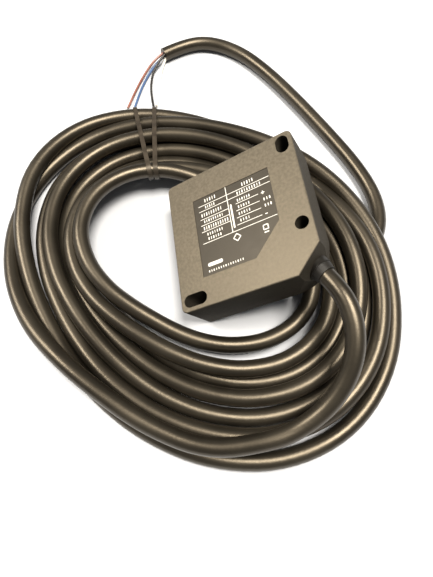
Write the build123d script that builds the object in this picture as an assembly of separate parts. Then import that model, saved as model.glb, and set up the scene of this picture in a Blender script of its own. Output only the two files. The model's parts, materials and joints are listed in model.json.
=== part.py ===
from build123d import *
import math
import os

# A flat rectangular photoelectric proximity sensor with its cable wound beside it.
# Housing frame, used for every piece of the sensor itself: x to the right across the
# label, y up the label, z out of the label face, with the label face at z = 0.
# Row frame: +Z up, z = 0 the surface that everything lies on. The housing leans: its
# left back edge is on the surface and its right side is propped on the cable coil.

# ---- Driving dimensions, mm ----
WIDTH = 50.0
HEIGHT = 51.0
DEPTH = 17.7
LEAN = 29.5
WALL = 2.2
COVER_THICKNESS = 2.6
CORNER_RADIUS = 2.0
BACK_EDGE_RADIUS = 2.2
FACE_EDGE_RADIUS = 0.4
CORNER_CHAMFER = 8.5
FACET_START_Z = -5.5
FACET_WIDTH, FACET_DEPTH = 7.0, 3.7
SHELL_DEPTH = DEPTH - COVER_THICKNESS
RIGHT, TOP = WIDTH / 2, HEIGHT / 2

HOLE_DIAMETER = 4.5
HOLE_AT = (21.3, -9.2)
SLOT_WIDTH = 4.5
UPPER_SLOT_AT, UPPER_SLOT_LENGTH = (21.3, 21.0), 6.5
LOWER_SLOT_AT, LOWER_SLOT_LENGTH = (-19.2, -21.8), 9.0

CAVITY_LEFT, CAVITY_RIGHT = -RIGHT + WALL, 16.8
CAVITY_LOW, CAVITY_HIGH = -17.4, TOP - WALL
CAVITY_CORNER = 1.5
CAVITY_MID = ((CAVITY_LEFT + CAVITY_RIGHT) / 2, (CAVITY_LOW + CAVITY_HIGH) / 2)
CAVITY_SIZE = (CAVITY_RIGHT - CAVITY_LEFT, CAVITY_HIGH - CAVITY_LOW)

LABEL_LEFT, LABEL_RIGHT = -15.0, 14.7
LABEL_LOW, LABEL_HIGH = -15.3, 15.0
LABEL_CUT = 10.0
LABEL_RECESS = 0.35
LABEL_THICKNESS = 0.2

OPTIC_AXIS_Z = -8.7
OPTIC_MID_Y = 6.0
OPTIC_SPACING = 10.4
WINDOW_SIZE = (1.6, 21.0, 9.6)
WINDOW_LEDGE = 0.9
LENS_DIAMETER = 8.0
HOLDER_DEPTH = 8.0
DIODE_FOOT = CAVITY_LEFT + HOLDER_DEPTH + 0.1
DIODE_DIAMETER, COLLAR_DIAMETER = 3.0, 3.6
RECEIVER_SIDE, RECEIVER_THICKNESS = 3.4, 1.4

SCREW_POINTS = [(-20.5, 21.0), (-20.5, -15.1), (21.3, 6.0), (8.0, -21.6)]
SCREW_DIAMETER, SCREW_HEAD, SCREW_LENGTH = 2.0, 3.8, 8.0
BOSS_DIAMETER = 5.2

TOP_AXIS_Z = -8.6
LAMP_X = -9.0
ADJUSTER_X = 3.0
ADJUSTER_DIAMETER = 4.4
ADJUSTER_HOLE = 4.6
STEM_DIAMETER, STEM_HOLE = 2.4, 2.52

BOARD_Z = -12.2
BOARD_THICKNESS = 1.0
CHIP_AT, CHIP_LEGS, LEG_PITCH = (-2.0, 3.0), 6, 1.27
PAD_PITCH = 2.4

CABLE_DIAMETER = 6.0
CORE_DIAMETER = 1.1
CABLE_AXIS_Z = -9.0
CABLE_LEAVES_AT = -60.0
GLAND_DIAMETER = 8.0
GLAND_DEPTH = 3.0
GLAND_STANDS_OUT = 1.5
RELIEF_LENGTH = 2.5
RELIEF_START, RELIEF_END = 3.8, 3.3

CUT_MIDDLE = (RIGHT - CORNER_CHAMFER / 2, -TOP + CORNER_CHAMFER / 2, CABLE_AXIS_Z)

COIL_HEIGHT = 18.0
COIL_OUTER = dict(centre=(-20.0, -1.0), radii=(60.0, 80.0), turned=35.6)
COIL_INNER = dict(centre=(-15.6, 1.5), radii=(48.0, 32.5), turned=-33.4)
COIL_GAP = 0.6

os.makedirs("parts", exist_ok=True)


# ---- Outlines shared by the pieces ----
def housing_outline():
    """The square outline with its lower right corner cut off at 45 degrees."""
    corner = [
        (-RIGHT, -TOP),
        (RIGHT - CORNER_CHAMFER, -TOP),
        (RIGHT, -TOP + CORNER_CHAMFER),
        (RIGHT, TOP),
        (-RIGHT, TOP),
    ]
    outline = make_face(Polyline(*corner, close=True))
    square = [v for v in outline.vertices() if abs(v.X) > RIGHT - 0.1 and abs(v.Y) > TOP - 0.1]
    return fillet(square, CORNER_RADIUS)


def label_outline(gap):
    """The label's outline, with the same cut corner, made smaller all round by gap."""
    left, right = LABEL_LEFT + gap, LABEL_RIGHT - gap
    low, high = LABEL_LOW + gap, LABEL_HIGH - gap
    return make_face(
        Polyline(
            (left, low), (right - LABEL_CUT, low), (right, low + LABEL_CUT),
            (right, high), (left, high), close=True,
        )
    )


def mounting_cuts():
    """The round hole and the two slots, right through the housing."""
    hole = Pos(*HOLE_AT) * Circle(HOLE_DIAMETER / 2)
    upper = Pos(*UPPER_SLOT_AT) * SlotOverall(UPPER_SLOT_LENGTH, SLOT_WIDTH, rotation=90)
    lower = Pos(*LOWER_SLOT_AT) * SlotOverall(LOWER_SLOT_LENGTH, SLOT_WIDTH)
    holes = Sketch() + [hole, upper, lower]
    return Pos(0, 0, -DEPTH - 1) * extrude(holes, DEPTH + 2)


def corner_facets():
    """The two oblique cuts that widen the cut corner towards the back, one on each side: each
    takes off what is outside a plane from a point on the corner's edge to two on the back."""
    below = -DEPTH - 1
    edge = (RIGHT, -TOP + CORNER_CHAMFER)
    inward = FACET_DEPTH / math.sqrt(2)
    foot = [
        (edge[0], edge[1] + FACET_WIDTH, below),
        (edge[0] + 2, edge[1] - 2, below),
        (edge[0] - inward, edge[1] - inward, below),
    ]
    tip = (*edge, FACET_START_Z)
    sides = [Face(Wire.make_polygon([tip, a, b])) for a, b in zip(foot, foot[1:] + foot[:1])]
    wedge = Solid(Shell([Face(Wire.make_polygon(foot)), *sides]))
    middle = Plane(origin=CUT_MIDDLE, z_dir=(1, 1, 0))
    return wedge, wedge.mirror(middle)


def cavity(gap=0.0):
    """The room for the electronics, smaller by gap all round, from the face wall back."""
    room = Rectangle(CAVITY_SIZE[0] - 2 * gap, CAVITY_SIZE[1] - 2 * gap)
    room = fillet(room.vertices(), CAVITY_CORNER)
    return Pos(*CAVITY_MID, -SHELL_DEPTH) * extrude(room, SHELL_DEPTH - WALL)


def along_gland(start, end, radius, end_radius=None):
    """A round piece on the cable's way out, between two distances from the cut corner."""
    heading = Vector(1, 0, 0).rotate(Axis.Z, CABLE_LEAVES_AT)
    axis = Plane(origin=CUT_MIDDLE, x_dir=(0, 0, 1), z_dir=heading)
    if end_radius is None:
        piece = Cylinder(radius, end - start, align=(Align.CENTER, Align.CENTER, Align.MIN))
    else:
        piece = Cone(
            radius, end_radius, end - start, align=(Align.CENTER, Align.CENTER, Align.MIN)
        )
    return axis.location * Pos(0, 0, start) * piece


def along_y(x, z, low, high, radius):
    """A round piece standing along y."""
    return Pos(x, (low + high) / 2, z) * Rot(90, 0, 0) * Cylinder(radius, high - low)


def along_x(y, z, low, high, radius):
    """A round piece lying along x."""
    return Pos((low + high) / 2, y, z) * Rot(0, 90, 0) * Cylinder(radius, high - low)


def block(low, high):
    """A box between its lowest and highest corners."""
    size = [b - a for a, b in zip(low, high)]
    middle = [(a + b) / 2 for a, b in zip(low, high)]
    return Pos(*middle) * Box(*size)


def optic_heights():
    """The y of the emitter's and of the receiver's axis."""
    return OPTIC_MID_Y + OPTIC_SPACING / 2, OPTIC_MID_Y - OPTIC_SPACING / 2


# ---- Housing ----
def housing_shell():
    """The moulded box: label face, side walls, screw bosses and every opening in them."""
    shell = Pos(0, 0, -SHELL_DEPTH) * extrude(housing_outline(), SHELL_DEPTH)
    shell = fillet(shell.faces().sort_by(Axis.Z)[-1].outer_wire().edges(), FACE_EDGE_RADIUS)
    shell -= cavity()
    for x, y in SCREW_POINTS[:2]:
        boss = Pos(x, y, -SHELL_DEPTH) * Cylinder(
            BOSS_DIAMETER / 2, SHELL_DEPTH - WALL, align=(Align.CENTER, Align.CENTER, Align.MIN)
        )
        shell += boss
    shell -= mounting_cuts()
    shell -= Pos(0, 0, -LABEL_RECESS) * extrude(label_outline(0), 1)
    shell -= window_space(0)
    shell -= block(
        (-RIGHT - 1, OPTIC_MID_Y - WINDOW_SIZE[1] / 2 + WINDOW_LEDGE,
         OPTIC_AXIS_Z - WINDOW_SIZE[2] / 2 + WINDOW_LEDGE),
        (CAVITY_LEFT + 1, OPTIC_MID_Y + WINDOW_SIZE[1] / 2 - WINDOW_LEDGE,
         OPTIC_AXIS_Z + WINDOW_SIZE[2] / 2 - WINDOW_LEDGE),
    )
    shell -= along_y(LAMP_X, TOP_AXIS_Z, CAVITY_HIGH - 1, TOP + 1, 1.6)
    shell -= along_y(ADJUSTER_X, TOP_AXIS_Z, CAVITY_HIGH - 1, TOP + 1, ADJUSTER_HOLE / 2)
    shell -= along_gland(-GLAND_DEPTH, 2, GLAND_DIAMETER / 2)
    shell -= along_gland(-9, 0, CABLE_DIAMETER / 2)
    for facet in corner_facets():
        shell -= facet
    for x, y in SCREW_POINTS:
        shell -= Pos(x, y, -SHELL_DEPTH + SCREW_LENGTH / 2 - COVER_THICKNESS / 2) * Cylinder(
            SCREW_DIAMETER / 2, SCREW_LENGTH - COVER_THICKNESS + 1
        )
    return shell


def rear_cover():
    """The back plate, with its outer edge rounded and a low rim that fits the cavity."""
    plate = Pos(0, 0, -DEPTH) * extrude(housing_outline(), COVER_THICKNESS)
    plate = fillet(plate.faces().sort_by(Axis.Z)[0].outer_wire().edges(), BACK_EDGE_RADIUS)
    plate += Pos(0, 0, -SHELL_DEPTH) * extrude(inner_frame(0.2, 1.2), 1.0)
    plate -= mounting_cuts()
    for x, y in SCREW_POINTS:
        plate -= Pos(x, y, -DEPTH) * screw_shape(0.05)
    for facet in corner_facets():
        plate -= facet
    return plate


def inner_frame(gap, width):
    """A frame that follows the cavity's wall and its two bosses, gap inside them."""
    room = Pos(*CAVITY_MID) * Rectangle(*CAVITY_SIZE)
    for x, y in SCREW_POINTS[:2]:
        room -= Pos(x, y) * Rectangle(BOSS_DIAMETER, BOSS_DIAMETER + 1)
        room -= Pos(x - 1, y + math.copysign(1, y)) * Rectangle(BOSS_DIAMETER, BOSS_DIAMETER)
    room = fillet(room.vertices(), 1.0)
    return offset(room, -gap) - offset(room, -gap - width)


def screw_shape(gap):
    """A countersunk screw pointing up z from its head at z = 0, grown by gap."""
    head_depth = (SCREW_HEAD - SCREW_DIAMETER) / 2
    stand = (Align.CENTER, Align.CENTER, Align.MIN)
    head = Cone(SCREW_HEAD / 2 + gap, SCREW_DIAMETER / 2 + gap, head_depth, align=stand)
    shank = Cylinder(SCREW_DIAMETER / 2 + gap, SCREW_LENGTH, align=stand)
    return head + shank


def cover_screws():
    """The four countersunk screws that hold the cover, each with a cross recess."""
    screw = screw_shape(0) - Pos(0, 0, 0.4) * (Box(2.2, 0.5, 0.9) + Box(0.5, 2.2, 0.9))
    return Compound(children=[Pos(x, y, -DEPTH) * screw for x, y in SCREW_POINTS])


def cover_seal():
    """The flat rubber frame inside the cover's rim."""
    return Pos(0, 0, -SHELL_DEPTH) * extrude(inner_frame(1.45, 1.0), 0.9)


def label_plate():
    """The thin printed label, a little below the face in its recess."""
    return Pos(0, 0, -LABEL_RECESS) * extrude(label_outline(0.1), LABEL_THICKNESS)


# ---- Optics, behind the left side ----
def window_space(gap):
    """The window's own room in the left wall, smaller all round by gap."""
    half_y, half_z = WINDOW_SIZE[1] / 2 - gap, WINDOW_SIZE[2] / 2 - gap
    return block(
        (-RIGHT - (0 if gap else 1), OPTIC_MID_Y - half_y, OPTIC_AXIS_Z - half_z),
        (-RIGHT + WINDOW_SIZE[0], OPTIC_MID_Y + half_y, OPTIC_AXIS_Z + half_z),
    )


def front_window():
    """The dark filter window, flush with the left side."""
    window = window_space(0.1)
    return fillet(window.edges().filter_by(Axis.X), 0.8)


def window_seal():
    """The rubber frame between the window and the lens holder."""
    outer = (WINDOW_SIZE[1] - 2 * WINDOW_LEDGE - 0.2, WINDOW_SIZE[2] - 2 * WINDOW_LEDGE - 0.2)
    start = -RIGHT + WINDOW_SIZE[0]
    size = CAVITY_LEFT - start
    frame = Box(size, *outer) - Box(size, outer[0] - 1.8, outer[1] - 1.8)
    return Pos(start + size / 2, OPTIC_MID_Y, OPTIC_AXIS_Z) * frame


def lens_holder():
    """The black block with a bore for each lens and the wall between them."""
    holder = block(
        (CAVITY_LEFT, OPTIC_MID_Y - 10.0, OPTIC_AXIS_Z - 5.0),
        (CAVITY_LEFT + HOLDER_DEPTH, OPTIC_MID_Y + 10.0, OPTIC_AXIS_Z + 5.0),
    )
    for y in optic_heights():
        holder -= along_x(y, OPTIC_AXIS_Z, CAVITY_LEFT - 1, CAVITY_LEFT + 2.6, LENS_DIAMETER / 2)
        holder -= along_x(y, OPTIC_AXIS_Z, CAVITY_LEFT, CAVITY_LEFT + 9, 2.6)
    return holder


def lens(y):
    """A plano-convex lens: a flat disc whose inner side is a shallow spherical dome."""
    radius, edge, dome = LENS_DIAMETER / 2 - 0.05, 1.2, 1.2
    dome_radius = (radius ** 2 + dome ** 2) / (2 * dome)
    half = math.asin(radius / dome_radius) / 2
    middle = edge + dome
    on_dome = (middle - dome_radius * (1 - math.cos(half)), dome_radius * math.sin(half))
    outline = [
        Polyline((middle, 0), (0, 0), (0, radius), (edge, radius)),
        ThreePointArc((edge, radius), on_dome, (middle, 0)),
    ]
    return Pos(CAVITY_LEFT + 0.1, y, OPTIC_AXIS_Z) * revolve(make_face(outline), Axis.X)


def optics_board():
    """The small upright board behind the lens holder."""
    return block(
        (DIODE_FOOT, OPTIC_MID_Y - 10.5, OPTIC_AXIS_Z - 2.8),
        (DIODE_FOOT + BOARD_THICKNESS, OPTIC_MID_Y + 10.5, OPTIC_AXIS_Z + 5.2),
    )


def round_diode(y):
    """A 3 mm round diode looking out through its bore, with a collar at its foot."""
    foot = DIODE_FOOT
    body = along_x(y, OPTIC_AXIS_Z, foot - 4.6, foot, DIODE_DIAMETER / 2)
    body = fillet(body.faces().sort_by(Axis.X)[0].edges(), 1.3)
    return body + along_x(y, OPTIC_AXIS_Z, foot - 1.0, foot, COLLAR_DIAMETER / 2)


def receiver_diode():
    """The flat square receiver with a small round eye."""
    half, y = RECEIVER_SIDE / 2, optic_heights()[1]
    front = DIODE_FOOT - RECEIVER_THICKNESS
    body = block((front, y - half, OPTIC_AXIS_Z - half), (DIODE_FOOT, y + half, OPTIC_AXIS_Z + half))
    return body + along_x(y, OPTIC_AXIS_Z, front - 0.6, front, 1.1)


# ---- Electronics ----
def main_board():
    """The circuit board across the cavity, clear of the lower left screw boss."""
    board = block(
        (CAVITY_LEFT + 5.2, CAVITY_LOW + 0.6, BOARD_Z),
        (CAVITY_RIGHT - 0.6, CAVITY_HIGH - 0.6, BOARD_Z + BOARD_THICKNESS),
    )
    return board - block(
        (CAVITY_LEFT, OPTIC_MID_Y - 10.8, BOARD_Z - 1),
        (CAVITY_LEFT + 9.4, OPTIC_MID_Y + 10.8, BOARD_Z + 2),
    )


def on_board(x, y, width, height, tall):
    """A component body that stands on the board."""
    top = BOARD_Z + BOARD_THICKNESS
    return block((x - width / 2, y - height / 2, top), (x + width / 2, y + height / 2, top + tall))


def signal_chip():
    """The evaluation chip with its two rows of legs."""
    x, y = CHIP_AT
    chip = on_board(x, y, 4.0, 8.6, 1.6)
    for side in (-1, 1):
        for step in range(CHIP_LEGS):
            leg_y = y + (step - (CHIP_LEGS - 1) / 2) * LEG_PITCH
            chip += on_board(x + side * 2.5, leg_y, 1.2, 0.45, 0.5)
    return chip


def output_stage():
    """The two output transistors near the cable."""
    return Compound(children=[on_board(9.0, y, 4.6, 3.6, 1.7) for y in (-9.6, -4.4)])


def capacitors():
    """The supply capacitors, tall round cans."""
    top = BOARD_Z + BOARD_THICKNESS
    can = Cylinder(2.4, 5.4, align=(Align.CENTER, Align.CENTER, Align.MIN))
    return Compound(children=[Pos(11.5, y, top) * can for y in (1.5, 8.0)])


def resistors():
    """Two rows of chip resistors."""
    places = [(5.0, 12.0 - 2.6 * step) for step in range(6)]
    places += [(-8.0, -2.0 - 2.6 * step) for step in range(4)]
    return Compound(children=[on_board(x, y, 2.0, 1.25, 0.6) for x, y in places])


def inner_cores():
    """The four cable cores, fanned out on the board between the gland and their pads."""
    top = BOARD_Z + BOARD_THICKNESS
    pads = [(6.5 + PAD_PITCH * step, -15.4) for step in range(4)]
    return Compound(
        children=[
            Pos(x, y + 1.2, top + CORE_DIAMETER / 2) * Rot(90, 0, 0)
            * Cylinder(CORE_DIAMETER / 2, 3.6)
            for x, y in pads
        ]
    )


# ---- Lamp and adjuster, in the top side ----
def light_pipe():
    """The clear pin that shows the lamp in the top side."""
    pin = along_y(LAMP_X, TOP_AXIS_Z, CAVITY_HIGH - 3.0, TOP, 1.5)
    return pin + along_y(LAMP_X, TOP_AXIS_Z, CAVITY_HIGH - 1.0, CAVITY_HIGH, 2.2)


def indicator_lamp():
    """The small lamp that stands on the board's edge below the light pipe."""
    top = BOARD_Z + BOARD_THICKNESS
    return block(
        (LAMP_X - 1.2, CAVITY_HIGH - 5.0, top), (LAMP_X + 1.2, CAVITY_HIGH - 3.1, TOP_AXIS_Z + 1.0)
    )


def adjuster_screw():
    """The sensitivity adjuster: a slotted brass head on a thin stem."""
    head = along_y(ADJUSTER_X, TOP_AXIS_Z, TOP - 1.9, TOP - 0.3, ADJUSTER_DIAMETER / 2)
    stem = along_y(ADJUSTER_X, TOP_AXIS_Z, CAVITY_HIGH - 3.6, TOP - 1.9, STEM_DIAMETER / 2)
    slot = Pos(ADJUSTER_X, TOP - 0.3, TOP_AXIS_Z) * Box(ADJUSTER_DIAMETER - 0.8, 1.4, 0.8)
    return head + stem - slot


def adjuster_body():
    """The trimmer that the adjuster turns, standing on the board."""
    top = BOARD_Z + BOARD_THICKNESS
    body = block(
        (ADJUSTER_X - 3.2, CAVITY_HIGH - 7.2, top),
        (ADJUSTER_X + 3.2, CAVITY_HIGH - 2.4, TOP_AXIS_Z + 3.0),
    )
    return body - along_y(ADJUSTER_X, TOP_AXIS_Z, CAVITY_HIGH - 3.7, CAVITY_HIGH, STEM_HOLE / 2)


def adjuster_seal():
    """The rubber ring round the adjuster's stem, inside the top wall."""
    ring = along_y(ADJUSTER_X, TOP_AXIS_Z, CAVITY_HIGH - 1.6, CAVITY_HIGH - 0.1, 2.6)
    return ring - along_y(ADJUSTER_X, TOP_AXIS_Z, CAVITY_HIGH - 2, CAVITY_HIGH + 1, STEM_HOLE / 2)


# ---- Where the cable leaves ----
def gland_bush():
    """The hard bush in the cut corner, which the cable passes through."""
    bush = along_gland(-GLAND_DEPTH, GLAND_STANDS_OUT, GLAND_DIAMETER / 2)
    return bush - along_gland(-9, 9, CABLE_DIAMETER / 2)


def strain_relief():
    """The short tapered rubber sleeve round the cable outside the bush."""
    end = GLAND_STANDS_OUT + RELIEF_LENGTH
    taper = along_gland(GLAND_STANDS_OUT, end, RELIEF_START, RELIEF_END)
    return taper - along_gland(-9, 19, CABLE_DIAMETER / 2)


# ---- Placing the sensor ----
def seat():
    """Leans the sensor, sets its lowest edge on z = 0 and centres its box on the origin."""
    tilt = Rot(0, -LEAN, 0)
    box = (tilt * (housing_shell() + rear_cover())).bounding_box()
    return Pos(-box.center().X, -box.center().Y, -box.min.Z) * tilt


# ---- The cable, in the row frame ----
def route_length(points):
    """The length of a route's runs added up."""
    return sum((Vector(*b) - Vector(*a)).length for a, b in zip(points, points[1:]))


def round_path(points):
    """The route as straight runs joined by arcs, each as large as its two runs allow."""
    radii = []
    for before, here, after in zip(points, points[1:], points[2:]):
        arriving = Vector(*here) - Vector(*before)
        leaving = Vector(*after) - Vector(*here)
        half_turn = math.radians(arriving.get_angle(leaving)) / 2
        radii.append(0.45 * min(arriving.length, leaving.length) / math.tan(half_turn))
    return FilletPolyline(*[Vector(*p) for p in points], radius=radii), radii


def tube(name, points, diameter):
    """A round tube along a route; prints its radii and compares its volume."""
    path, radii = round_path(points)
    section = Plane(origin=path @ 0, z_dir=path % 0) * Circle(diameter / 2)
    solid = sweep(section, path)
    expected = math.pi * diameter ** 2 / 4 * path.length
    print(name, "length", round(path.length, 1), "radii", [round(r, 1) for r in radii],
          "volume ratio", round(solid.volume / expected, 4))
    return solid


# From the gland, over the right end of the coil and down onto its top.
EXIT_ROUTE = [
    (17.8, -19.9, 28.9), (22.2, -28.6, 31.4), (24.6, -38.3, 31.0), (23.9, -47.8, 28.1),
    (20.3, -55.9, 23.4), (14.2, -62.2, 18.7), (5.9, -66.6, 15.3), (-2.6, -69.0, 13.7),
]
# From under the coil's right side, round behind the sensor to the stripped end.
TAIL_ROUTE = [
    (41.0, -10.0, 3.1), (49.5, -5.0, 3.1), (56.0, 4.5, 3.1), (57.8, 18.0, 3.1),
    (54.0, 34.5, 3.1), (46.0, 54.0, 3.1), (36.8, 74.5, 3.1), (27.3, 93.0, 3.1),
    (17.0, 108.0, 3.1), (3.5, 117.5, 3.1), (-9.5, 117.6, 3.1), (-20.5, 112.4, 3.1),
]
# The four cores, from the cable's cut end down onto the surface beside the coil.
CORE_ROUTES = {
    "core_brown": [
        (-19.0, 114.2, 3.9), (-25.5, 110.6, 2.4), (-31.5, 102.6, 0.9), (-36.6, 92.6, 0.6),
        (-40.4, 83.4, 0.6),
    ],
    "core_blue": [
        (-19.2, 112.9, 3.0), (-25.4, 108.6, 1.5), (-30.6, 100.4, 0.6), (-34.6, 91.2, 0.6),
        (-37.4, 82.6, 0.6),
    ],
    "core_black": [
        (-19.6, 111.9, 4.2), (-25.0, 106.6, 2.8), (-28.2, 98.8, 0.8), (-28.9, 90.0, 0.6),
        (-28.4, 82.2, 0.6),
    ],
    "core_white": [
        (-19.4, 111.6, 2.4), (-22.6, 105.6, 1.0), (-24.2, 98.0, 0.6), (-25.4, 90.2, 0.6),
        (-27.0, 82.8, 0.6),
    ],
}
TIP_LENGTH = 3.2
TIP_DIAMETER = 0.8


def coil_outline(centre, radii, turned):
    """One of the coil's two edges: an ellipse turned about Z."""
    return Pos(*centre) * Ellipse(*radii, rotation=turned)


def cable_coil(place):
    """The whole coil as one ring, cut clear of the sensor that leans on it."""
    ring = extrude(coil_outline(**COIL_OUTER) - coil_outline(**COIL_INNER), COIL_HEIGHT)
    room = Box(WIDTH + 2 * COIL_GAP, HEIGHT + 2 * COIL_GAP, 3 * DEPTH)
    return ring - place * Pos(0, 0, -DEPTH - COIL_GAP + 1.5 * DEPTH) * room


TIE_LINES = [((-31.8, 36.0), (-37.6, 75.0)), ((-30.4, 36.0), (-27.6, 75.2))]
TIE_WIDTH, TIE_THICKNESS = 1.6, 0.9


def cable_tie():
    """The thin tie's two passes round the coil's bundle, each a closed loop."""
    loops = []
    for inner, outer in TIE_LINES:
        length = math.dist(inner, outer)
        angle = math.degrees(math.atan2(outer[1] - inner[1], outer[0] - inner[0]))
        tall = COIL_HEIGHT + TIE_THICKNESS / 2
        loop = Box(length, TIE_WIDTH, tall)
        loop -= Box(length - 2 * TIE_THICKNESS, 2 * TIE_WIDTH, tall - 2 * TIE_THICKNESS)
        middle = [(a + b) / 2 for a, b in zip(inner, outer)]
        loops.append(Pos(*middle, tall / 2) * Rot(0, 0, angle) * loop)
    return Compound(children=loops)


def core_tips():
    """The tinned strands beyond each core's insulation."""
    tips = []
    for points in CORE_ROUTES.values():
        before, end = Vector(*points[-2]), Vector(*points[-1])
        start = Plane(origin=end, z_dir=end - before)
        tips.append(
            start.location * Cylinder(
                TIP_DIAMETER / 2, TIP_LENGTH, align=(Align.CENTER, Align.CENTER, Align.MIN)
            )
        )
    return Compound(children=tips)


# ---- Build and write ----
leaned = {
    "housing_shell": housing_shell(),
    "rear_cover": rear_cover(),
    "cover_screws": cover_screws(),
    "cover_seal": cover_seal(),
    "label_plate": label_plate(),
    "front_window": front_window(),
    "window_seal": window_seal(),
    "lens_holder": lens_holder(),
    "emitter_lens": lens(optic_heights()[0]),
    "receiver_lens": lens(optic_heights()[1]),
    "optics_board": optics_board(),
    "emitter_diode": round_diode(optic_heights()[0]),
    "receiver_diode": receiver_diode(),
    "main_board": main_board(),
    "signal_chip": signal_chip(),
    "output_stage": output_stage(),
    "capacitors": capacitors(),
    "resistors": resistors(),
    "inner_cores": inner_cores(),
    "light_pipe": light_pipe(),
    "indicator_lamp": indicator_lamp(),
    "adjuster_screw": adjuster_screw(),
    "adjuster_body": adjuster_body(),
    "adjuster_seal": adjuster_seal(),
    "gland_bush": gland_bush(),
    "strain_relief": strain_relief(),
}
place = seat()
parts = {name: place * shape for name, shape in leaned.items()}
parts["exit_cable"] = tube("exit_cable", EXIT_ROUTE, CABLE_DIAMETER)
parts["cable_tail"] = tube("cable_tail", TAIL_ROUTE, CABLE_DIAMETER)
parts["cable_coil"] = cable_coil(place)
for name, points in CORE_ROUTES.items():
    parts[name] = tube(name, points, CORE_DIAMETER)
parts["core_tips"] = core_tips()
parts["cable_tie"] = cable_tie()

for name, shape in parts.items():
    export_step(shape, f"parts/{name}.step")
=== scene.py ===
import json

import bpy
import numpy as np
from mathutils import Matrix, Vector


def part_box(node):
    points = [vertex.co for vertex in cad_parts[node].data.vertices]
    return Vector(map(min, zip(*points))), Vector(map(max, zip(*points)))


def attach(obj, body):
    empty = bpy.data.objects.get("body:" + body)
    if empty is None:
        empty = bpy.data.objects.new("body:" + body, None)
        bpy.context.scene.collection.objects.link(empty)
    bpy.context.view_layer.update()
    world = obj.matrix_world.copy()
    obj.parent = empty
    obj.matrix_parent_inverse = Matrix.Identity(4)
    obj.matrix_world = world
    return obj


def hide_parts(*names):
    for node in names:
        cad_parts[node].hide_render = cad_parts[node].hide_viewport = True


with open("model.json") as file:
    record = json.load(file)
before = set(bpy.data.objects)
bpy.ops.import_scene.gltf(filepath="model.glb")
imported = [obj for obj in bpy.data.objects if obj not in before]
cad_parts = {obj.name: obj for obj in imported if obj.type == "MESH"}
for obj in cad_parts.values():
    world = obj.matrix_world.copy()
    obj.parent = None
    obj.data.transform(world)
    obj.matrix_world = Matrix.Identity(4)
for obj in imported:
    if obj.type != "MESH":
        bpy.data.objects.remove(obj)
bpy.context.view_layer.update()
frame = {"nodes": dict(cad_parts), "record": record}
nodes = frame["nodes"]


# ---- Camera, table and light ----
# The sensor lies on a plain pale table and is seen from close above its front edge.
# One large soft light stands high at the left and a second hangs overhead to the right.
CAMERA_PLACE = (-0.01947, -0.06914, 0.14394)
CAMERA_TURN = (21.777, 0.469, -8.227)
CAMERA_LENS = 25.166
CAMERA_NEAR = 0.005
TABLE_SIZE = 3.0
TABLE_COLOUR = (0.48, 0.50, 0.54)
TABLE_ROUGHNESS = 0.9
TABLE_SPECULAR = 0.1
SURROUND_COLOUR = (1.0, 0.99, 0.97)
SURROUND_STRENGTH = 0.24
LIGHT_AIM = (-0.01, 0.0, 0.02)
KEY_LIGHT = dict(place=(-1.07, 0.46, 1.25), size=(0.55, 0.55), power=32.0)
TOP_LIGHT = dict(place=(0.30, -0.05, 1.45), size=(0.60, 0.60), power=50.0)
LIGHT_COLOUR = (1.0, 0.93, 0.82)


def studio_light(name, place, size, power):
    """A rectangular area light at a place, turned to face the point that it lights."""
    data = bpy.data.lights.new(name, "AREA")
    data.shape = "RECTANGLE"
    data.size, data.size_y = size
    data.energy = power
    data.color = LIGHT_COLOUR
    light = bpy.data.objects.new(name, data)
    bpy.context.scene.collection.objects.link(light)
    away = np.array(place) - np.array(LIGHT_AIM)
    light.location = place
    light.rotation_euler = (np.arctan2(np.hypot(away[0], away[1]), away[2]), 0,
                            np.arctan2(away[0], -away[1]))


camera_data = bpy.data.cameras.new("camera")
camera_data.lens = CAMERA_LENS
camera_data.clip_start = CAMERA_NEAR
camera = bpy.data.objects.new("camera", camera_data)
camera.location = CAMERA_PLACE
camera.rotation_euler = np.radians(CAMERA_TURN)
bpy.context.scene.collection.objects.link(camera)
bpy.context.scene.camera = camera

studio_light("key_light", **KEY_LIGHT)
studio_light("top_light", **TOP_LIGHT)

surround = bpy.data.worlds.new("surround")
surround.use_nodes = True
surround_node = surround.node_tree.nodes["Background"]
surround_node.inputs["Color"].default_value = (*SURROUND_COLOUR, 1)
surround_node.inputs["Strength"].default_value = SURROUND_STRENGTH
bpy.context.scene.world = surround
bpy.context.scene.view_settings.view_transform = "Standard"

table_mesh = bpy.data.meshes.new("table")
table_corners = TABLE_SIZE / 2 * np.array([(-1, -1, 0), (1, -1, 0), (1, 1, 0), (-1, 1, 0)])
table_mesh.from_pydata(table_corners.tolist(), [], [(0, 1, 2, 3)])
table = bpy.data.objects.new("table", table_mesh)
bpy.context.scene.collection.objects.link(table)
table_paint = bpy.data.materials.new("table_paint")
table_paint.use_nodes = True
table_shader = table_paint.node_tree.nodes["Principled BSDF"]
table_shader.inputs["Base Color"].default_value = (*TABLE_COLOUR, 1)
table_shader.inputs["Roughness"].default_value = TABLE_ROUGHNESS
table_shader.inputs["Specular IOR Level"].default_value = TABLE_SPECULAR
table_mesh.materials.append(table_paint)


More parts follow.
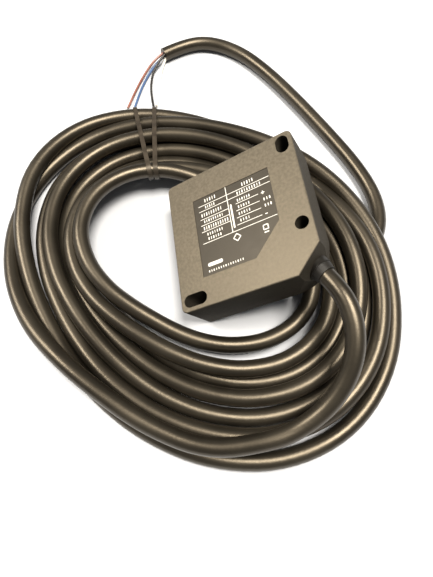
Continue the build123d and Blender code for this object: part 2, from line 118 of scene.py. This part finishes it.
# ---- The cable ----
# A round four-core cable with a satin black plastic jacket. It leaves the gland, drops over
# the right end of its own coil, runs round in loose turns and comes out under the right side.
CABLE = 0.006
EXIT_ROUTE = [
    (0.0178, -0.0199, 0.0289), (0.0222, -0.0286, 0.0314), (0.0246, -0.0383, 0.0310),
    (0.0239, -0.0478, 0.0281), (0.0203, -0.0559, 0.0234), (0.0142, -0.0622, 0.0187),
    (0.0059, -0.0666, 0.0153), (-0.0026, -0.0690, 0.0137),
]
TURN_BACK = [(0.0150, 0.0130, 0.0032), (0.0185, 0.0010, 0.0031), (0.0280, -0.0080, 0.0031)]
TAIL_ROUTE = [
    (0.0410, -0.0100, 0.0031), (0.0495, -0.0050, 0.0031), (0.0560, 0.0045, 0.0031),
    (0.0578, 0.0180, 0.0031), (0.0540, 0.0345, 0.0031), (0.0460, 0.0540, 0.0031),
    (0.0368, 0.0745, 0.0031), (0.0273, 0.0930, 0.0031), (0.0170, 0.1080, 0.0031),
    (0.0035, 0.1175, 0.0031), (-0.0095, 0.1176, 0.0031), (-0.0205, 0.1124, 0.0031),
]
COIL_MIDDLE = np.array([-0.018, -0.002])
COIL_OUTER = dict(centre=(-0.020, -0.001), radii=(0.060, 0.080), turned=35.6)
COIL_INNER = dict(centre=(-0.0156, 0.0015), radii=(0.048, 0.0325), turned=-33.4)
COIL_START = -94.0
STEPS_PER_TURN = 40
POINTS_PER_TURN = 20
# Where each turn runs at eight stations clockwise from the front: across the ring's width,
# 0 at its inner edge and 1 at its outer edge, and how high, in layers above the table. The
# last turn ends at its sixth station.
ACROSS = [
    [1.00, 0.84, 1.16, 0.87, 0.74, 0.60, 0.64, 0.90],
    [0.94, 0.76, 0.66, 0.95, 0.87, 0.70, 0.57, 0.80],
    [0.80, 0.71, 0.60, 0.68, 0.66, 0.55, 0.49, 0.69],
    [0.66, 0.56, 0.46, 0.54, 0.54, 0.45, 0.41, 0.57],
    [0.52, 0.43, 0.34, 0.38, 0.42, 0.35, 0.32, 0.46],
    [0.41, 0.30, 0.18, 0.23, 0.30, 0.27, 0.24, 0.37],
    [0.28, 0.18, 0.27, 0.13, 0.20, 0.22, 0.17, 0.15],
    [0.13, 0.09, 0.32, 0.18, 0.26, 0.00],
]
LAYER = [
    [2.2, 1.3, 0.0, 0.3, 1.0, 1.0, 1.6, 0.9],
    [0.1, 0.2, 0.8, 1.3, 0.2, 0.2, 2.0, 1.0],
    [1.0, 0.8, 0.3, 0.2, 0.3, 0.9, 1.2, 0.5],
    [0.3, 0.2, 1.0, 1.0, 1.2, 0.3, 1.6, 1.3],
    [1.0, 1.0, 0.4, 0.4, 0.2, 1.0, 1.2, 0.4],
    [0.2, 0.2, 0.0, 0.2, 1.2, 0.3, 1.6, 1.0],
    [1.0, 0.8, 1.2, 1.1, 0.3, 1.3, 1.4, 0.3],
    [0.0, 0.2, 2.0, 1.4, 1.2, 0.0],
]
LAYER_HEIGHT = 0.0052
LEAN = np.radians(29.5)
UNDER_COIL_AT = -5.0
UNDER_COIL_WIDTH = 17.0
HUMP_HEIGHT = 1.05 * CABLE
UNDER_HOUSING = 0.62 * CABLE
SETTLE_ROUNDS = 500
TURN_SPACING = 1.03 * CABLE
PUSH_SHARE = 0.3
EVEN_OUT_ACROSS, EVEN_OUT_HEIGHT = 0.25, 0.2
SPRING_BACK = 0.9995
SINK_STEP = 0.00001
CORD_STEPS = 6
CORD_ROUNDNESS = 6
MIX_FROM, MIX_TO = 0.35, 0.65
GLOSS_FROM, GLOSS_TO = 0.3, 0.7


def edge_distance(centre, radii, turned, angles):
    """How far a turned ellipse lies from the coil's middle in each direction: the positive
    root of the quadratic for where a ray from the middle meets it."""
    turn = np.radians(turned)
    to_axes = np.array([[np.cos(turn), np.sin(turn)], [-np.sin(turn), np.cos(turn)]])
    ray = to_axes @ np.stack([np.cos(angles), np.sin(angles)]) / np.array(radii)[:, None]
    start = to_axes @ (COIL_MIDDLE - np.array(centre)) / np.array(radii)
    square = (ray ** 2).sum(0)
    cross = start @ ray
    return (-cross + np.sqrt(cross ** 2 - square * ((start ** 2).sum() - 1))) / square


def along_turns(stations):
    """The stations of all turns in one row, filled in between by straight lines and then
    evened out by a running mean one station long."""
    row = np.concatenate([np.array(turn) for turn in stations])
    steps = STEPS_PER_TURN // len(stations[0])
    fine = np.interp(np.arange((len(row) - 1) * steps + 1) / steps, np.arange(len(row)), row)
    half = steps // 2
    window = np.ones(2 * half + 1) / (2 * half + 1)
    return np.convolve(np.pad(fine, half, mode="edge"), window, "valid")


def coil_floor(angles):
    """The lowest centreline in each direction: on the table, or a layer up in a smooth hump
    over the place where the cable's tail passes under the coil."""
    from_crossing = np.degrees((angles - np.radians(UNDER_COIL_AT) + np.pi) % (2 * np.pi) - np.pi)
    return CABLE / 2 + HUMP_HEIGHT * np.exp(-(from_crossing / UNDER_COIL_WIDTH) ** 2)


def room_below_sensor(across, height, angles):
    """The highest centreline at each point: free, or just below the leaning housing."""
    x = COIL_MIDDLE[0] + across * np.cos(angles)
    y = COIL_MIDDLE[1] + across * np.sin(angles)
    low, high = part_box("rear_cover")
    slope = np.tan(LEAN)
    cap = (x - low[0]) * slope - UNDER_HOUSING
    below = (np.abs(y) < high[1] + CABLE / 2) & (x > 0.0) & (x < high[0] + CABLE / 2)
    return np.where(below, np.minimum(height, np.maximum(cap, CABLE / 2)), height)


def settled(across, height, angles):
    """Pushes turns that overlap apart, a little at a time, evenly across and upwards, keeps
    them on the table and under the sensor, and smooths each push along the cable."""
    wanted = across.copy()
    slant = np.arctan2(np.abs(np.gradient(wanted)) * STEPS_PER_TURN / (2 * np.pi), wanted)
    squareness = np.cos(slant)
    count = len(across)
    for _ in range(SETTLE_ROUNDS):
        for turns in range(1, count // STEPS_PER_TURN + 1):
            a = slice(0, count - turns * STEPS_PER_TURN)
            b = slice(turns * STEPS_PER_TURN, count)
            square = (squareness[a] + squareness[b]) / 2
            sideways = (across[b] - across[a]) * square
            upwards = height[b] - height[a]
            apart = np.hypot(sideways, upwards) + 1e-9
            push = np.clip(TURN_SPACING - apart, 0, None) * PUSH_SHARE / apart
            across[b] += push * sideways / square
            across[a] -= push * sideways / square
            height[b] += push * upwards
            height[a] -= push * upwards
        drift = across - wanted
        drift[1:-1] += EVEN_OUT_ACROSS * ((drift[:-2] + drift[2:]) / 2 - drift[1:-1])
        across = wanted + SPRING_BACK * drift
        height[1:-1] += EVEN_OUT_HEIGHT * ((height[:-2] + height[2:]) / 2 - height[1:-1])
        height -= SINK_STEP
        height = room_below_sensor(across, height, angles)
        height = np.maximum(height, coil_floor(angles))
    return across, height


def coil_points():
    """The coil's control points: each turn goes round clockwise at a distance between the
    ring's two edges that the lists give, at its layer's height."""
    share = along_turns(ACROSS)
    angles = np.radians(COIL_START) - 2 * np.pi * np.arange(len(share)) / STEPS_PER_TURN
    inner = edge_distance(**COIL_INNER, angles=angles) + CABLE / 2
    outer = edge_distance(**COIL_OUTER, angles=angles) - CABLE / 2
    across = inner + (outer - inner) * share
    height = CABLE / 2 + LAYER_HEIGHT * along_turns(LAYER)
    across, height = settled(across, height, angles)
    line = np.stack([COIL_MIDDLE[0] + across * np.cos(angles),
                     COIL_MIDDLE[1] + across * np.sin(angles), height], axis=1)
    return line[::STEPS_PER_TURN // POINTS_PER_TURN]


def cord_curve(name, points, diameter):
    """A round cord along one smooth open spline, closed at both ends."""
    data = bpy.data.curves.new(name, "CURVE")
    data.dimensions = "3D"
    data.resolution_u = CORD_STEPS
    data.bevel_depth = diameter / 2
    data.bevel_resolution = CORD_ROUNDNESS
    data.use_fill_caps = True
    spline = data.splines.new("NURBS")
    spline.points.add(len(points) - 1)
    rows = np.column_stack([np.array(points), np.ones(len(points))])
    spline.points.foreach_set("co", rows.ravel())
    spline.order_u = 3
    spline.use_endpoint_u = True
    cord = bpy.data.objects.new(name, data)
    bpy.context.scene.collection.objects.link(cord)
    return cord


def centreline(cord):
    """The points of a cord's own spline, read from a copy of the curve with no thickness."""
    bare = cord.copy()
    bare.data = cord.data.copy()
    bare.data.bevel_depth = 0
    bpy.context.scene.collection.objects.link(bare)
    graph = bpy.context.evaluated_depsgraph_get()
    mesh = bpy.data.meshes.new_from_object(bare.evaluated_get(graph))
    line = np.empty(3 * len(mesh.vertices))
    mesh.vertices.foreach_get("co", line)
    bpy.data.curves.remove(bare.data)
    bpy.data.meshes.remove(mesh)
    return line.reshape(-1, 3)


def colour_ramp(tree, colours):
    """A ramp that runs from one colour to another over the middle of a noise's values."""
    ramp = tree.nodes.new("ShaderNodeValToRGB")
    for stop, place, colour in zip(ramp.color_ramp.elements, (MIX_FROM, MIX_TO), colours):
        stop.position = place
        stop.color = (*colour, 1)
    return ramp


def finish(name, colours, roughness, grain, relief, drift=0.012, **shader):
    """One plastic, rubber or metal: noise at the size of the grain lifts the surface, and a
    slow noise mixes the two colours and moves the roughness between its two values. The
    other values go straight onto the shader."""
    material = bpy.data.materials.new(name)
    material.use_nodes = True
    tree = material.node_tree
    surface = tree.nodes["Principled BSDF"]
    place = tree.nodes.new("ShaderNodeTexCoord")
    fine, slow = (tree.nodes.new("ShaderNodeTexNoise") for _ in range(2))
    for noise, size, detail in ((fine, grain, 4), (slow, drift, 3)):
        noise.inputs["Scale"].default_value = 1 / size
        noise.inputs["Detail"].default_value = detail
        tree.links.new(place.outputs["Object"], noise.inputs["Vector"])
    mix = colour_ramp(tree, colours)
    gloss = tree.nodes.new("ShaderNodeMapRange")
    gloss.inputs["From Min"].default_value = GLOSS_FROM
    gloss.inputs["From Max"].default_value = GLOSS_TO
    gloss.inputs["To Min"].default_value, gloss.inputs["To Max"].default_value = roughness
    bump = tree.nodes.new("ShaderNodeBump")
    bump.inputs["Distance"].default_value = relief
    tree.links.new(slow.outputs["Fac"], mix.inputs["Fac"])
    tree.links.new(mix.outputs["Color"], surface.inputs["Base Color"])
    tree.links.new(slow.outputs["Fac"], gloss.inputs["Value"])
    tree.links.new(gloss.outputs["Result"], surface.inputs["Roughness"])
    tree.links.new(fine.outputs["Fac"], bump.inputs["Height"])
    tree.links.new(bump.outputs["Normal"], surface.inputs["Normal"])
    for socket, value in shader.items():
        surface.inputs[socket.replace("_", " ")].default_value = value
    return material


def paint(piece, material):
    """Gives a piece one material in place of whatever it had."""
    piece.data.materials.clear()
    piece.data.materials.append(material)


# The warm specular tint is painted warm light: it colours the jacket's reflections as a warm lamp
# would.
jacket = finish(
    "cable_jacket", [(0.006, 0.0052, 0.004), (0.012, 0.0105, 0.008)], (0.31, 0.41),
    grain=0.0009, relief=0.00003, drift=0.02, Specular_IOR_Level=0.68,
    Specular_Tint=(1.0, 0.86, 0.66, 1),
)
cable = cord_curve("cable", [*EXIT_ROUTE, *coil_points(), *TURN_BACK, *TAIL_ROUTE], CABLE)
paint(cable, jacket)
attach(cable, "sensor")
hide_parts("exit_cable", "cable_coil", "cable_tail")


# ---- The four cores ----
# Stranded copper wires in thin glossy insulation: brown, blue, black and white. They leave the
# cut end of the jacket, droop onto the table and end in short tinned tips.
CORE = 0.0011
CORE_ROUTES = {
    "core_brown": [
        (-0.0190, 0.1142, 0.0039), (-0.0255, 0.1106, 0.0024), (-0.0315, 0.1026, 0.0009),
        (-0.0366, 0.0926, 0.0006), (-0.0404, 0.0834, 0.0006),
    ],
    "core_blue": [
        (-0.0192, 0.1129, 0.0030), (-0.0254, 0.1086, 0.0015), (-0.0306, 0.1004, 0.0006),
        (-0.0346, 0.0912, 0.0006), (-0.0374, 0.0826, 0.0006),
    ],
    "core_black": [
        (-0.0196, 0.1119, 0.0042), (-0.0250, 0.1066, 0.0028), (-0.0282, 0.0988, 0.0008),
        (-0.0289, 0.0900, 0.0006), (-0.0284, 0.0822, 0.0006),
    ],
    "core_white": [
        (-0.0194, 0.1116, 0.0024), (-0.0226, 0.1056, 0.0010), (-0.0242, 0.0980, 0.0006),
        (-0.0254, 0.0902, 0.0006), (-0.0270, 0.0828, 0.0006),
    ],
}
CORE_COLOURS = {
    "core_brown": [(0.17, 0.066, 0.048), (0.23, 0.095, 0.070)],
    "core_blue": [(0.045, 0.085, 0.180), (0.065, 0.115, 0.240)],
    "core_black": [(0.016, 0.015, 0.014), (0.024, 0.022, 0.020)],
    "core_white": [(0.72, 0.68, 0.60), (0.82, 0.79, 0.72)],
}
for core_name, route in CORE_ROUTES.items():
    core = cord_curve(f"{core_name}_wire", route, CORE)
    paint(core, finish(core_name, CORE_COLOURS[core_name], (0.28, 0.40), grain=0.0006,
                       relief=0.00002, drift=0.006))
    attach(core, "sensor")
    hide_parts(core_name)
paint(nodes["core_tips"], finish(
    "tinned_copper", [(0.62, 0.60, 0.56), (0.74, 0.72, 0.68)], (0.25, 0.40),
    grain=0.0003, relief=0.00005, drift=0.002, Metallic=1.0,
))


# ---- The tie ----
# One thin flat tie that goes twice round the coil's bundle at the back and holds the turns
# together. It is pulled snug, so it bridges the hollows between the outer turns.
TIE_LINES = [((-0.0322, 0.0370), (-0.0362, 0.0750)), ((-0.0296, 0.0370), (-0.0276, 0.0752))]
TIE_WIDTH = 0.0018
TIE_THICKNESS = 0.0007
TIE_STEPS = 120
TIE_SLACK = 1.01
LOWEST_TIE = 0.0002
PAST_ENDS = 0.012
SOFT_EDGE = 0.0002


def tie_plane(start, end):
    """The upright plane of a tie's line on the table: where the line starts, the way along
    it, which is its span over the span's length, and the way a quarter turn from that."""
    start, end = np.array(start), np.array(end)
    along = (end - start) / np.linalg.norm(end - start)
    return start, along, np.array([-along[1], along[0]])


def bundle_section(line, start, end):
    """Where the cable crosses the upright plane over a line on the table: distance along
    that line and height of every crossing, found where the cable's side of the plane changes."""
    length = np.linalg.norm(np.subtract(end, start))
    start, along, across = tie_plane(start, end)
    side = (line[:, :2] - start) @ across
    reach = (line[:, :2] - start) @ along
    near = (reach > -PAST_ENDS) & (reach < length + PAST_ENDS)
    turns = np.flatnonzero((side[:-1] * side[1:] <= 0) & near[:-1])
    share = side[turns] / (side[turns] - side[turns + 1])
    crossing = line[turns] + share[:, None] * (line[turns + 1] - line[turns])
    return np.stack([(crossing[:, :2] - start) @ along, crossing[:, 2]], axis=1)


def tie_loop(name, line, start, end):
    """A flat band round the bundle: in each direction its inner face touches the crossing
    that lies furthest that way, one cable radius out, and its outer face lies its
    thickness further out. Four corners make the band's section, carried round the loop."""
    discs = bundle_section(line, start, end)
    turn = np.linspace(0, 2 * np.pi, TIE_STEPS, endpoint=False)
    heading = np.stack([np.cos(turn), np.sin(turn)], axis=1)
    outmost = discs[np.argmax(heading @ discs.T, axis=1)]
    low = CABLE / 2 * TIE_SLACK
    section = [(low, -0.5), (low + TIE_THICKNESS, -0.5), (low + TIE_THICKNESS, 0.5), (low, 0.5)]
    start, along, across = tie_plane(start, end)
    corners = []
    for out, sideways in section:
        flat = outmost + out * heading
        place = start + flat[:, :1] * along + sideways * TIE_WIDTH * across
        corners.append(np.column_stack([place, np.maximum(flat[:, 1], LOWEST_TIE)]))
    points = np.stack(corners, axis=1).reshape(-1, 3)
    step, corner = np.meshgrid(np.arange(TIE_STEPS), np.arange(4), indexing="ij")
    after, beside = (step + 1) % TIE_STEPS, (corner + 1) % 4
    faces = np.stack([4 * step + corner, 4 * step + beside, 4 * after + beside,
                      4 * after + corner], axis=-1).reshape(-1, 4)
    mesh = bpy.data.meshes.new(name)
    mesh.from_pydata(points.tolist(), [], faces.tolist())
    loop = bpy.data.objects.new(name, mesh)
    bpy.context.scene.collection.objects.link(loop)
    soften = loop.modifiers.new("soft_edges", "BEVEL")
    soften.width = SOFT_EDGE
    soften.segments = 2
    return loop


# The warm specular tint is painted warm light: it colours the tie's reflections as a warm lamp
# would.
tie_plastic = finish(
    "tie_band", [(0.020, 0.016, 0.012), (0.034, 0.027, 0.020)], (0.34, 0.46),
    grain=0.0008, relief=0.00003, drift=0.004, Specular_Tint=(1.0, 0.90, 0.74, 1),
)
cable_line = centreline(cable)
for number, (start, end) in enumerate(TIE_LINES, 1):
    loop = tie_loop(f"tie_loop_{number}", cable_line, start, end)
    paint(loop, tie_plastic)
    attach(loop, "sensor")
    if number == 1:
        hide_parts("cable_tie")


# ---- The housing ----
# A flat box moulded in black glass-filled plastic, with a fine eroded grain, smoother on the
# front, where a paler painted sheen stands in for the light that the front catches. It is
# closed by a back plate held with four countersunk screws, on a rubber frame.
FACE_WAY = np.array([-np.sin(LEAN), 0, np.cos(LEAN)])
SHEEN_DEPTH = 0.0005
# Paler colours painted on the front face and its rounded edges: painted sheen and painted
# highlight for the light that they catch.
PAINTED_FACE_SHEEN = [(0.062, 0.054, 0.041), (0.090, 0.078, 0.060)]
DULL = 0.75


def paint_face_sheen(piece, material):
    """Paints a paler sheen onto a plastic towards a piece's front plane and smooths it there: the
    painted sheen colours, mixed by the same slow noise, and the plastic's own gloss in place of a
    dull one come in from nothing at the sheen depth behind the plane to full on it."""
    corners = np.empty(3 * len(piece.data.vertices))
    piece.data.vertices.foreach_get("co", corners)
    front = (corners.reshape(-1, 3) @ FACE_WAY).max()
    tree = material.node_tree
    plain = tree.nodes["Color Ramp"]
    painted_sheen = colour_ramp(tree, PAINTED_FACE_SHEEN)
    along = tree.nodes.new("ShaderNodeVectorMath")
    along.operation = "DOT_PRODUCT"
    along.inputs[1].default_value = FACE_WAY
    share = tree.nodes.new("ShaderNodeMapRange")
    share.inputs["From Min"].default_value = front - SHEEN_DEPTH
    share.inputs["From Max"].default_value = front
    blend = tree.nodes.new("ShaderNodeMixRGB")
    gloss = tree.nodes.new("ShaderNodeMix")
    gloss.inputs["A"].default_value = DULL
    surface = tree.nodes["Principled BSDF"]
    tree.links.new(tree.nodes["Texture Coordinate"].outputs["Object"], along.inputs[0])
    tree.links.new(along.outputs["Value"], share.inputs["Value"])
    tree.links.new(plain.inputs["Fac"].links[0].from_socket, painted_sheen.inputs["Fac"])
    tree.links.new(share.outputs["Result"], blend.inputs["Fac"])
    tree.links.new(plain.outputs["Color"], blend.inputs["Color1"])
    tree.links.new(painted_sheen.outputs["Color"], blend.inputs["Color2"])
    # The painted sheen colours go into the front's base colour here.
    tree.links.new(blend.outputs["Color"], surface.inputs["Base Color"])
    tree.links.new(share.outputs["Result"], gloss.inputs["Factor"])
    tree.links.new(surface.inputs["Roughness"].links[0].from_socket, gloss.inputs["B"])
    tree.links.new(gloss.outputs["Result"], surface.inputs["Roughness"])


# The warm specular tint is painted warm light: it colours the housing's reflections as a warm lamp
# would.
housing_plastic = finish(
    "housing_plastic", [(0.006, 0.0055, 0.005), (0.012, 0.011, 0.009)], (0.33, 0.41),
    grain=0.00022, relief=0.00004, drift=0.0010, Specular_IOR_Level=0.42,
    Specular_Tint=(1.0, 0.86, 0.64, 1),
)
for piece in ("housing_shell", "rear_cover"):
    paint(nodes[piece], housing_plastic)
paint_face_sheen(nodes["housing_shell"], housing_plastic)
paint(nodes["cover_screws"], finish(
    "screw_steel", [(0.42, 0.41, 0.39), (0.55, 0.54, 0.52)], (0.28, 0.42),
    grain=0.0002, relief=0.00001, drift=0.002, Metallic=1.0,
))
rubber = finish(
    "seal_rubber", [(0.012, 0.012, 0.012), (0.022, 0.021, 0.020)], (0.60, 0.75),
    grain=0.0004, relief=0.00003, drift=0.004,
)
for piece in ("cover_seal", "window_seal", "adjuster_seal"):
    paint(nodes[piece], rubber)


# ---- The label ----
# A thin dark film with a cut corner, stuck in its recess and printed in off-white ink: a
# table of rules with plain blocks where its entries go.
MM = 0.001
UPPER_SLOT_AT = (21.3, 21.0, 0.0)
INK_BASE, INK_TOP = -0.155, -0.125
INK_CORNERS = 12
RULES = [
    (-13.1, 14.5, 11.65), (-13.1, 14.5, 9.5), (-13.3, 14.5, -3.2), (-13.0, -1.8, 6.2),
    (-13.1, -1.8, 3.85), (-13.2, -1.8, 1.3), (1.2, 9.7, 6.7), (1.0, 9.7, 4.0),
    (0.7, 9.7, 1.3), (0.3, 9.6, -1.3),
]
RULE_WIDTH = 0.22
ENTRIES = [
    (-8.1, 13.3, 5.0, 1.4), (-8.5, 10.6, 4.2, 1.1), (-8.3, 7.8, 8.6, 1.4), (-7.9, 5.1, 8.0, 1.1),
    (-7.3, 2.5, 10.2, 1.4), (-8.1, -0.1, 6.6, 1.1), (-8.4, -1.9, 5.6, 1.1), (6.7, 13.1, 4.8, 1.4),
    (6.7, 10.5, 9.4, 1.2), (4.3, 7.8, 5.2, 1.1), (4.0, 5.2, 4.8, 1.1), (3.8, 2.6, 4.8, 1.1),
    (3.5, 0.0, 4.0, 1.1), (12.3, 4.0, 3.0, 1.1), (12.3, 1.6, 3.0, 1.1), (-6.1, -13.8, 13.6, 0.8),
]
BLOCK_PITCH = 0.92
BLOCK_WIDTHS = (0.40, 0.28, 0.46, 0.24, 0.36)
RING_BAR, RING_OVERLAP = 0.34, 0.2
MARKS = [
    (-1.6, 5.85, 18.1, 0.28, 90), (-0.65, 2.75, 9.3, 0.62, 90), (11.3, 6.6, 1.3, 0.34, 0),
    (11.3, 6.6, 1.3, 0.34, 90), (11.1, -1.4, 0.9, 0.34, 0), (-9.8, -11.5, 5.8, 1.35, 0),
    (9.9, -7.7, 1.7, 0.45, 0),
]


def housing_place(points):
    """Points of the housing's own frame, in mm, put where the leaning housing stands: turned
    by its lean about the y axis and moved so that the upper slot's middle meets its mount."""
    turn = np.array([[np.cos(LEAN), 0, -np.sin(LEAN)], [0, 1, 0], [np.sin(LEAN), 0, np.cos(LEAN)]])
    slot = next(m for m in frame["record"]["mounts"] if m["name"] == "upper_slot")
    return (np.array(points) - UPPER_SLOT_AT) * MM @ turn.T + np.array(slot["pos_m"])


def entry_blocks(x, y, width, height):
    """A row of upright blocks, evenly spaced across the width, that stands for an entry."""
    count = max(2, round(width / BLOCK_PITCH))
    middles = x + width * ((np.arange(count) + 0.5) / count - 0.5)
    return [(middle, y, height, BLOCK_WIDTHS[place % len(BLOCK_WIDTHS)], 90)
            for place, middle in enumerate(middles)]


def ring_marks(x, y, size, corners, turned):
    """The sides of a small open figure, as bars between its corners."""
    reach = size * np.cos(np.pi / corners)
    side = 2 * size * np.sin(np.pi / corners) + RING_OVERLAP
    ways = turned + 360 / corners * (np.arange(corners) + 0.5)
    return [(x + reach * np.cos(np.radians(way)), y + reach * np.sin(np.radians(way)), side,
             RING_BAR, way + 90) for way in ways]


def raised_bars(name, bars, low, high):
    """Round-ended bars standing a little above the label: each outline point is half the
    straight length plus a half circle away from the bar's middle, at two heights."""
    x, y, length, width, turned = (column[:, None] for column in np.array(bars, float).T)
    way = np.linspace(0, 2 * np.pi, INK_CORNERS, endpoint=False) + np.pi / INK_CORNERS
    reach = np.maximum(length - width, 0) / 2 * np.sign(np.cos(way)) + width / 2 * np.cos(way)
    aside = width / 2 * np.sin(way)
    turn = np.radians(turned)
    flat = np.stack([x + reach * np.cos(turn) - aside * np.sin(turn),
                     y + reach * np.sin(turn) + aside * np.cos(turn)], axis=-1)
    levels = np.array([low, high])[None, :, None, None]
    points = np.concatenate([np.repeat(flat[:, None], 2, axis=1),
                             np.broadcast_to(levels, (len(bars), 2, INK_CORNERS, 1))], axis=-1)
    ring = np.arange(INK_CORNERS)
    ahead = (ring + 1) % INK_CORNERS
    sides = np.stack([ring, ahead, ahead + INK_CORNERS, ring + INK_CORNERS], axis=1)
    first = 2 * INK_CORNERS * np.arange(len(bars))[:, None]
    faces = [*(first[:, :, None] + sides[None]).reshape(-1, 4).tolist(),
             *(first + INK_CORNERS + ring).tolist(), *(first + ring[::-1]).tolist()]
    mesh = bpy.data.meshes.new(name)
    mesh.from_pydata(housing_place(points.reshape(-1, 3)).tolist(), [], faces)
    piece = bpy.data.objects.new(name, mesh)
    bpy.context.scene.collection.objects.link(piece)
    return piece


ink_bars = [((left + right) / 2, y, right - left, RULE_WIDTH, 0) for left, right, y in RULES]
ink_bars += [block for entry in ENTRIES for block in entry_blocks(*entry)]
ink_bars += [*MARKS, *ring_marks(-0.4, -5.5, 1.35, 4, 0), *ring_marks(9.9, -5.9, 1.15, 4, 45)]
label_print = raised_bars("label_print", ink_bars, INK_BASE, INK_TOP)
paint(label_print, finish(
    "label_ink", [(0.54, 0.53, 0.49), (0.70, 0.69, 0.65)], (0.45, 0.60),
    grain=0.0003, relief=0.00001, drift=0.0012,
))
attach(label_print, "sensor")
# The warm specular tint is painted warm light: it colours the label film's reflections as a warm
# lamp would.
paint(nodes["label_plate"], finish(
    "label_film", [(0.012, 0.011, 0.009), (0.018, 0.016, 0.013)], (0.40, 0.48),
    grain=0.0004, relief=0.00001, drift=0.003, Specular_IOR_Level=0.42,
    Specular_Tint=(1.0, 0.90, 0.76, 1),
))


# ---- Optics ----
# A dark filter window in the left side covers a black holder with two clear lenses; the
# emitter and the receiver look out through it from a small upright board.
paint(nodes["front_window"], finish(
    "filter_window", [(0.045, 0.004, 0.006), (0.065, 0.006, 0.008)], (0.08, 0.16),
    grain=0.002, relief=0.00001, drift=0.006, Specular_IOR_Level=0.35,
))
paint(nodes["lens_holder"], finish(
    "holder_plastic", [(0.014, 0.014, 0.015), (0.024, 0.024, 0.025)], (0.50, 0.65),
    grain=0.0003, relief=0.00003, drift=0.003,
))
lens_clear = finish(
    "lens_clear", [(0.86, 0.88, 0.90), (0.93, 0.94, 0.95)], (0.03, 0.08),
    grain=0.002, relief=0.000004, drift=0.004, Transmission_Weight=0.9, IOR=1.49,
)
diode_clear = finish(
    "diode_clear", [(0.50, 0.56, 0.74), (0.62, 0.68, 0.84)], (0.06, 0.14),
    grain=0.001, relief=0.00001, drift=0.002, Transmission_Weight=0.6, IOR=1.5,
)
for piece in ("emitter_lens", "receiver_lens"):
    paint(nodes[piece], lens_clear)
for piece in ("emitter_diode", "receiver_diode"):
    paint(nodes[piece], diode_clear)


# ---- Electronics ----
# Two green glass-fibre boards, with the evaluation chip, output transistors, supply
# capacitors and chip resistors soldered on, and the four cores on their pads.
board_green = finish(
    "circuit_board", [(0.010, 0.090, 0.040), (0.018, 0.130, 0.060)], (0.30, 0.45),
    grain=0.0005, relief=0.00004, drift=0.002,
)
chip_black = finish(
    "chip_black", [(0.018, 0.018, 0.019), (0.032, 0.032, 0.034)], (0.45, 0.60),
    grain=0.0002, relief=0.00003, drift=0.001,
)
for piece in ("main_board", "optics_board"):
    paint(nodes[piece], board_green)
for piece in ("signal_chip", "output_stage", "resistors"):
    paint(nodes[piece], chip_black)
paint(nodes["capacitors"], finish(
    "capacitor_sleeve", [(0.030, 0.045, 0.110), (0.045, 0.065, 0.150)], (0.25, 0.38),
    grain=0.0008, relief=0.00002, drift=0.003,
))
paint(nodes["inner_cores"], finish(
    "inner_insulation", [(0.30, 0.26, 0.22), (0.52, 0.48, 0.42)], (0.30, 0.42),
    grain=0.0006, relief=0.00002, drift=0.004,
))


# ---- Lamp and adjuster, in the top side ----
# A clear pin carries the lamp's light to the outside. Beside it a slotted brass screw,
# sunk in its hole and sealed by a rubber ring, turns the trimmer on the board.
paint(nodes["light_pipe"], finish(
    "light_pipe_clear", [(0.80, 0.78, 0.70), (0.90, 0.88, 0.82)], (0.08, 0.16),
    grain=0.001, relief=0.00001, drift=0.002, Transmission_Weight=0.5, IOR=1.49,
))
paint(nodes["indicator_lamp"], finish(
    "lamp_resin", [(0.70, 0.34, 0.05), (0.84, 0.46, 0.09)], (0.15, 0.25),
    grain=0.0008, relief=0.00001, drift=0.002,
))
paint(nodes["adjuster_screw"], finish(
    "adjuster_brass", [(0.62, 0.44, 0.18), (0.76, 0.57, 0.27)], (0.24, 0.40),
    grain=0.0002, relief=0.00001, drift=0.002, Metallic=1.0,
))
paint(nodes["adjuster_body"], finish(
    "trimmer_plastic", [(0.040, 0.075, 0.190), (0.060, 0.100, 0.240)], (0.35, 0.50),
    grain=0.0003, relief=0.00002, drift=0.002,
))


# ---- The gland ----
# A hard black bush pressed into the cut corner, with a short soft sleeve moulded round the
# cable where it leaves.
paint(nodes["gland_bush"], finish(
    "gland_plastic", [(0.008, 0.007, 0.006), (0.014, 0.013, 0.011)], (0.34, 0.46),
    grain=0.0004, relief=0.00003, drift=0.003, Specular_IOR_Level=0.25,
))
paint(nodes["strain_relief"], finish(
    "sleeve_rubber", [(0.007, 0.006, 0.005), (0.012, 0.011, 0.009)], (0.46, 0.58),
    grain=0.0005, relief=0.00004, drift=0.003, Specular_IOR_Level=0.30,
))
